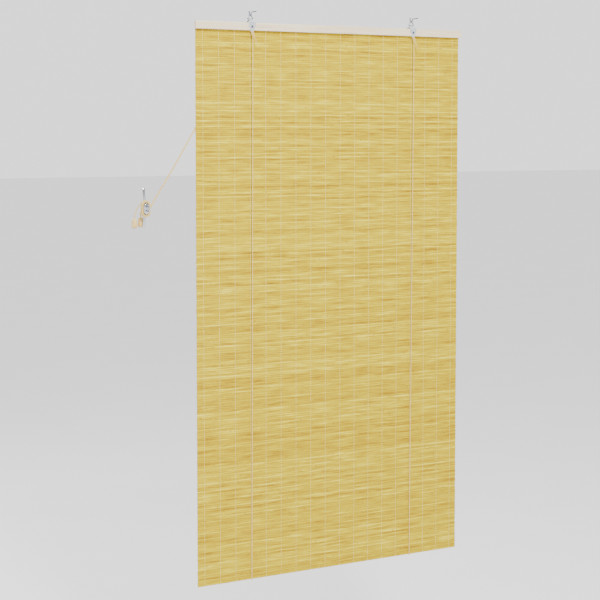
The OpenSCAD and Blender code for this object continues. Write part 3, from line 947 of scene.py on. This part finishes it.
def screw_thread(x, z, start_y, end_y, core, crest, pitch, runout, point, sides):
    """A screw along -Y: its thread rises over the runout from a plain shank, and its end is a point."""
    length = start_y - end_y
    count = int(length / (0.16 * MM))
    step = length / count
    path = np.column_stack([np.full(count + 1, x), np.linspace(start_y, end_y, count + 1),
                            np.full(count + 1, z)])

    def radius(i, angle):
        along = i * step
        left = length - along
        wave = (angle / (2 * math.pi) - along / pitch) % 1
        ridge = np.clip(1 - np.abs(wave - 0.5) * 4, 0, 1)
        grown = np.clip(along / runout, 0, 1)
        body = core + (crest - core) * ridge * grown
        return body * np.clip(left / point, 0.06, 1)

    return sweep(path, radius, sides)


def make_screw_hook(side_name, x):
    """A square-bent hook of plated wire with a wood-screw thread at the wall end."""
    node = side_name + "_screw_hook"
    low, high = (np.array(c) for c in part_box(node))
    wire_r = (high[0] - low[0]) / 2
    seat = low[2] + wire_r
    reach = 5.5 * MM
    full_bend = reach * 0.999
    shank_z = seat + 10 * MM
    tip_z = high[2] - wire_r
    thread_start = WALL_Y + 6 * MM
    corners = np.array([(x, reach, tip_z), (x, reach, seat), (x, -reach, seat), (x, -reach, shank_z),
                        (x, thread_start, shank_z)])
    shape = Shape()
    path = rounded_line(corners, [full_bend, full_bend, 4.5 * MM], 0.6 * MM)
    tip_rise = wire_r * np.array([0.95, 0.8, 0.55, 0.3])
    path = np.vstack([[path[0] + (0, 0, rise) for rise in tip_rise], path])
    radii = np.full((len(path), 1), wire_r)
    radii[:len(tip_rise), 0] *= [math.sqrt(1 - (1 - t) ** 2) for t in (0.15, 0.5, 0.8, 1)]
    shape.add(*sweep(path, radii, 20))
    shape.add(*screw_thread(x, shank_z, thread_start, low[1], core=wire_r * 0.74, crest=wire_r,
                            pitch=1.5 * MM, runout=2 * MM, point=3 * MM, sides=20))
    piece = shape.make(node + "_turned", [WIRE], "wall_fixings", sharp_angle=60)
    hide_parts(node)


def make_bail(side_name, x):
    """A bent wire link: a closed trapezoid with rounded corners."""
    node = side_name + "_bail"
    wire_r = 1.2 * MM
    base_bend, top_bend = 1.6 * MM, 1.7 * MM
    base_z, base_half, top_half = -12.5 * MM, 9.3 * MM, 1.9 * MM
    corners = [(-base_half, base_z), (base_half, base_z), (top_half, 0), (-top_half, 0)]
    corners = np.array([(x + across, 0, up) for across, up in corners])
    start = (corners[0] + corners[1]) / 2
    loop = np.vstack([start, corners[1], corners[2], corners[3], corners[0], start])
    path = rounded_line(loop, [base_bend, top_bend, top_bend, base_bend], 0.35 * MM)[:-1]
    shape = Shape()
    shape.add(*sweep(path, wire_r, 18, closed=True))
    piece = shape.make(node + "_bent", [WIRE], node, sharp_angle=60)
    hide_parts(node)


for side_name, side in SIDES.items():
    make_screw_hook(side_name, side * CORD_X)
    make_bail(side_name, side * CORD_X)


# ---- Cleat and its screws ----

# The cleat's base plate and neck, in mm: each level's place in y, half width and half height
CLEAT_LEVELS = [
    (-22, 8.4, 13.4), (-21.7, 8.9, 13.9), (-21.2, 9, 14), (-20, 9, 14), (-19.4, 8.7, 13.7),
    (-19.05, 8, 13), (-18.9, 6.6, 12), (-18.4, 5.2, 11), (-17.4, 4.4, 10.4), (-15, 4, 10),
    (-12, 4, 10), (-10.5, 4.1, 10.6), (-9.4, 4.3, 12), (-8.6, 4.5, 14), (-7.4, 4.4, 14.4)]
SCREW_HEAD = mm([0, 0.5], [0.5, 0.5], [0.7, 0.1], [2.6, 0], [3.1, 0.15], [3.3, 0.5], [3.2, 0.9],
                [1.5, 2.2], [1.5, 6])


def stadium_loft(levels):
    """A loft along +Y of upright ovals, each (y, half width, half height)."""
    rings = []
    for y, half_w, half_h in levels:
        ring = oval(half_w, half_h)
        rings.append(np.column_stack([CLEAT_X + ring[:, 0], np.full(len(ring), y), CLEAT_Z + ring[:, 1]]))
    return np.vstack(rings), ring_faces(len(levels), len(rings[0]))


def make_cleat():
    """A cast cleat: base plate, waisted neck and a pair of horns that rise away from the wall."""
    half_h = (cleat_high[2] - cleat_low[2]) / 2
    bar_y, rise, bar_t = -7 * MM, 7 * MM, 3.6 * MM
    tip_w, middle_w, boss_w = 3.4, 5, 0.5
    shape = Shape()
    shape.add(*stadium_loft(mm(*CLEAT_LEVELS)))
    up = np.linspace(-1, 1, 73)
    up = np.sign(up) * (1 - (1 - np.abs(up)) ** 1.25)
    z = up * half_h
    y = bar_y + rise * up ** 2
    taper = np.sqrt(np.clip(1 - ((np.abs(up) - 0.94) / 0.06).clip(0, 1) ** 2, 0.02, 1))
    boss = boss_w * np.exp(-(up / 0.16) ** 2)
    half_w = (tip_w + (middle_w - tip_w) * (1 - np.abs(up)) + boss) * MM * taper
    half_t = bar_t / 2 * (0.4 + 0.6 * taper)
    sides = 24
    angle = np.linspace(0, 2 * math.pi, sides, endpoint=False)
    square = 0.62
    across = np.sign(np.cos(angle)) * np.abs(np.cos(angle)) ** square
    out = np.sign(np.sin(angle)) * np.abs(np.sin(angle)) ** square
    slope = 2 * rise * up / half_h
    lean = np.column_stack([np.zeros(len(up)), np.ones(len(up)), -slope]) / np.sqrt(1 + slope ** 2)[:, None]
    centre = np.column_stack([np.full(len(up), CLEAT_X), y, CLEAT_Z + z])
    verts = (centre[:, None, :] + (half_w[:, None] * across)[..., None] * np.array([1.0, 0, 0])
             + (half_t[:, None] * out)[..., None] * lean[:, None, :])
    verts[..., 2] = np.clip(verts[..., 2], cleat_low[2], cleat_high[2])
    shape.add(verts.reshape(-1, 3), ring_faces(len(up), sides))
    piece = shape.make("cleat_cast", [CHROME], "wall_fixings", sharp_angle=45)
    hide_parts("cleat")


def make_cleat_screws():
    """Two countersunk wood screws through the cleat, each with a small recess in its head."""
    low, high = (np.array(c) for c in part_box("cleat_screws"))
    thread_r, thread_start = 1.75 * MM, high[1] - 5 * MM
    shape = Shape()
    for end in (-1, 1):
        z = CLEAT_Z + end * 6 * MM
        shape.add(*lathe(SCREW_HEAD, (CLEAT_X, high[1], z), (0, -1, 0), 28))
        shape.add(*screw_thread(CLEAT_X, z, thread_start, low[1], core=thread_r * 0.66, crest=thread_r,
                                pitch=1.4 * MM, runout=6 * MM, point=4 * MM, sides=16))
    piece = shape.make("cleat_wood_screws", [WIRE], "wall_fixings", sharp_angle=60)
    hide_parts("cleat_screws")


make_cleat()
make_cleat_screws()


# ---- Rail, brackets, rivets and pulleys ----

def make_rivets():
    """Axle rivets: a domed head on the wall side, a shank, and a clenched dome on the room side."""
    low, high = (np.array(c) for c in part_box("axle_rivets"))
    head_r, shank_r, head_t = 3.6 * MM, 2 * MM, 1.4 * MM
    shape = Shape()
    for side in SIDES.values():
        turn = np.linspace(0, math.pi / 2, 9)
        dome = [(head_r * math.sin(a), head_t * (1 - math.cos(a))) for a in turn]
        length = high[1] - low[1]
        foot = [(r, length - h) for r, h in reversed(dome)]
        profile = dome + [(shank_r, head_t), (shank_r, length - head_t)] + foot
        shape.add(*lathe(profile, (side * CORD_X, low[1], AXLE_Z), (0, 1, 0), 36))
    piece = shape.make("axle_rivets_domed", [WIRE], "head", sharp_angle=50)
    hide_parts("axle_rivets")


def bevel(node, width, segments):
    """Rounds the sharp edges of a CAD node."""
    piece = bpy.data.objects[node]
    rounding = piece.modifiers.new("rounded_edges", "BEVEL")
    rounding.width = width
    rounding.segments = segments
    rounding.limit_method = "ANGLE"
    rounding.angle_limit = math.radians(35)
    rounding.harden_normals = True
    rounding.use_clamp_overlap = True


def dress(node, material):
    """Gives a CAD node its material."""
    piece = bpy.data.objects[node]
    piece.data.materials.clear()
    piece.data.materials.append(material)


make_rivets()
dress("head_rail", RAIL_WOOD)
bevel("head_rail", 0.9 * MM, 3)
for name in SIDES:
    dress(name + "_bracket", NICKEL)
    bevel(name + "_bracket", 0.25 * MM, 2)
    dress(name + "_pulley", NYLON)
    bevel(name + "_pulley", 0.3 * MM, 2)
dress("rail_staples", WIRE)
dress("axle_washers", WIRE)
bevel("axle_washers", 0.15 * MM, 2)
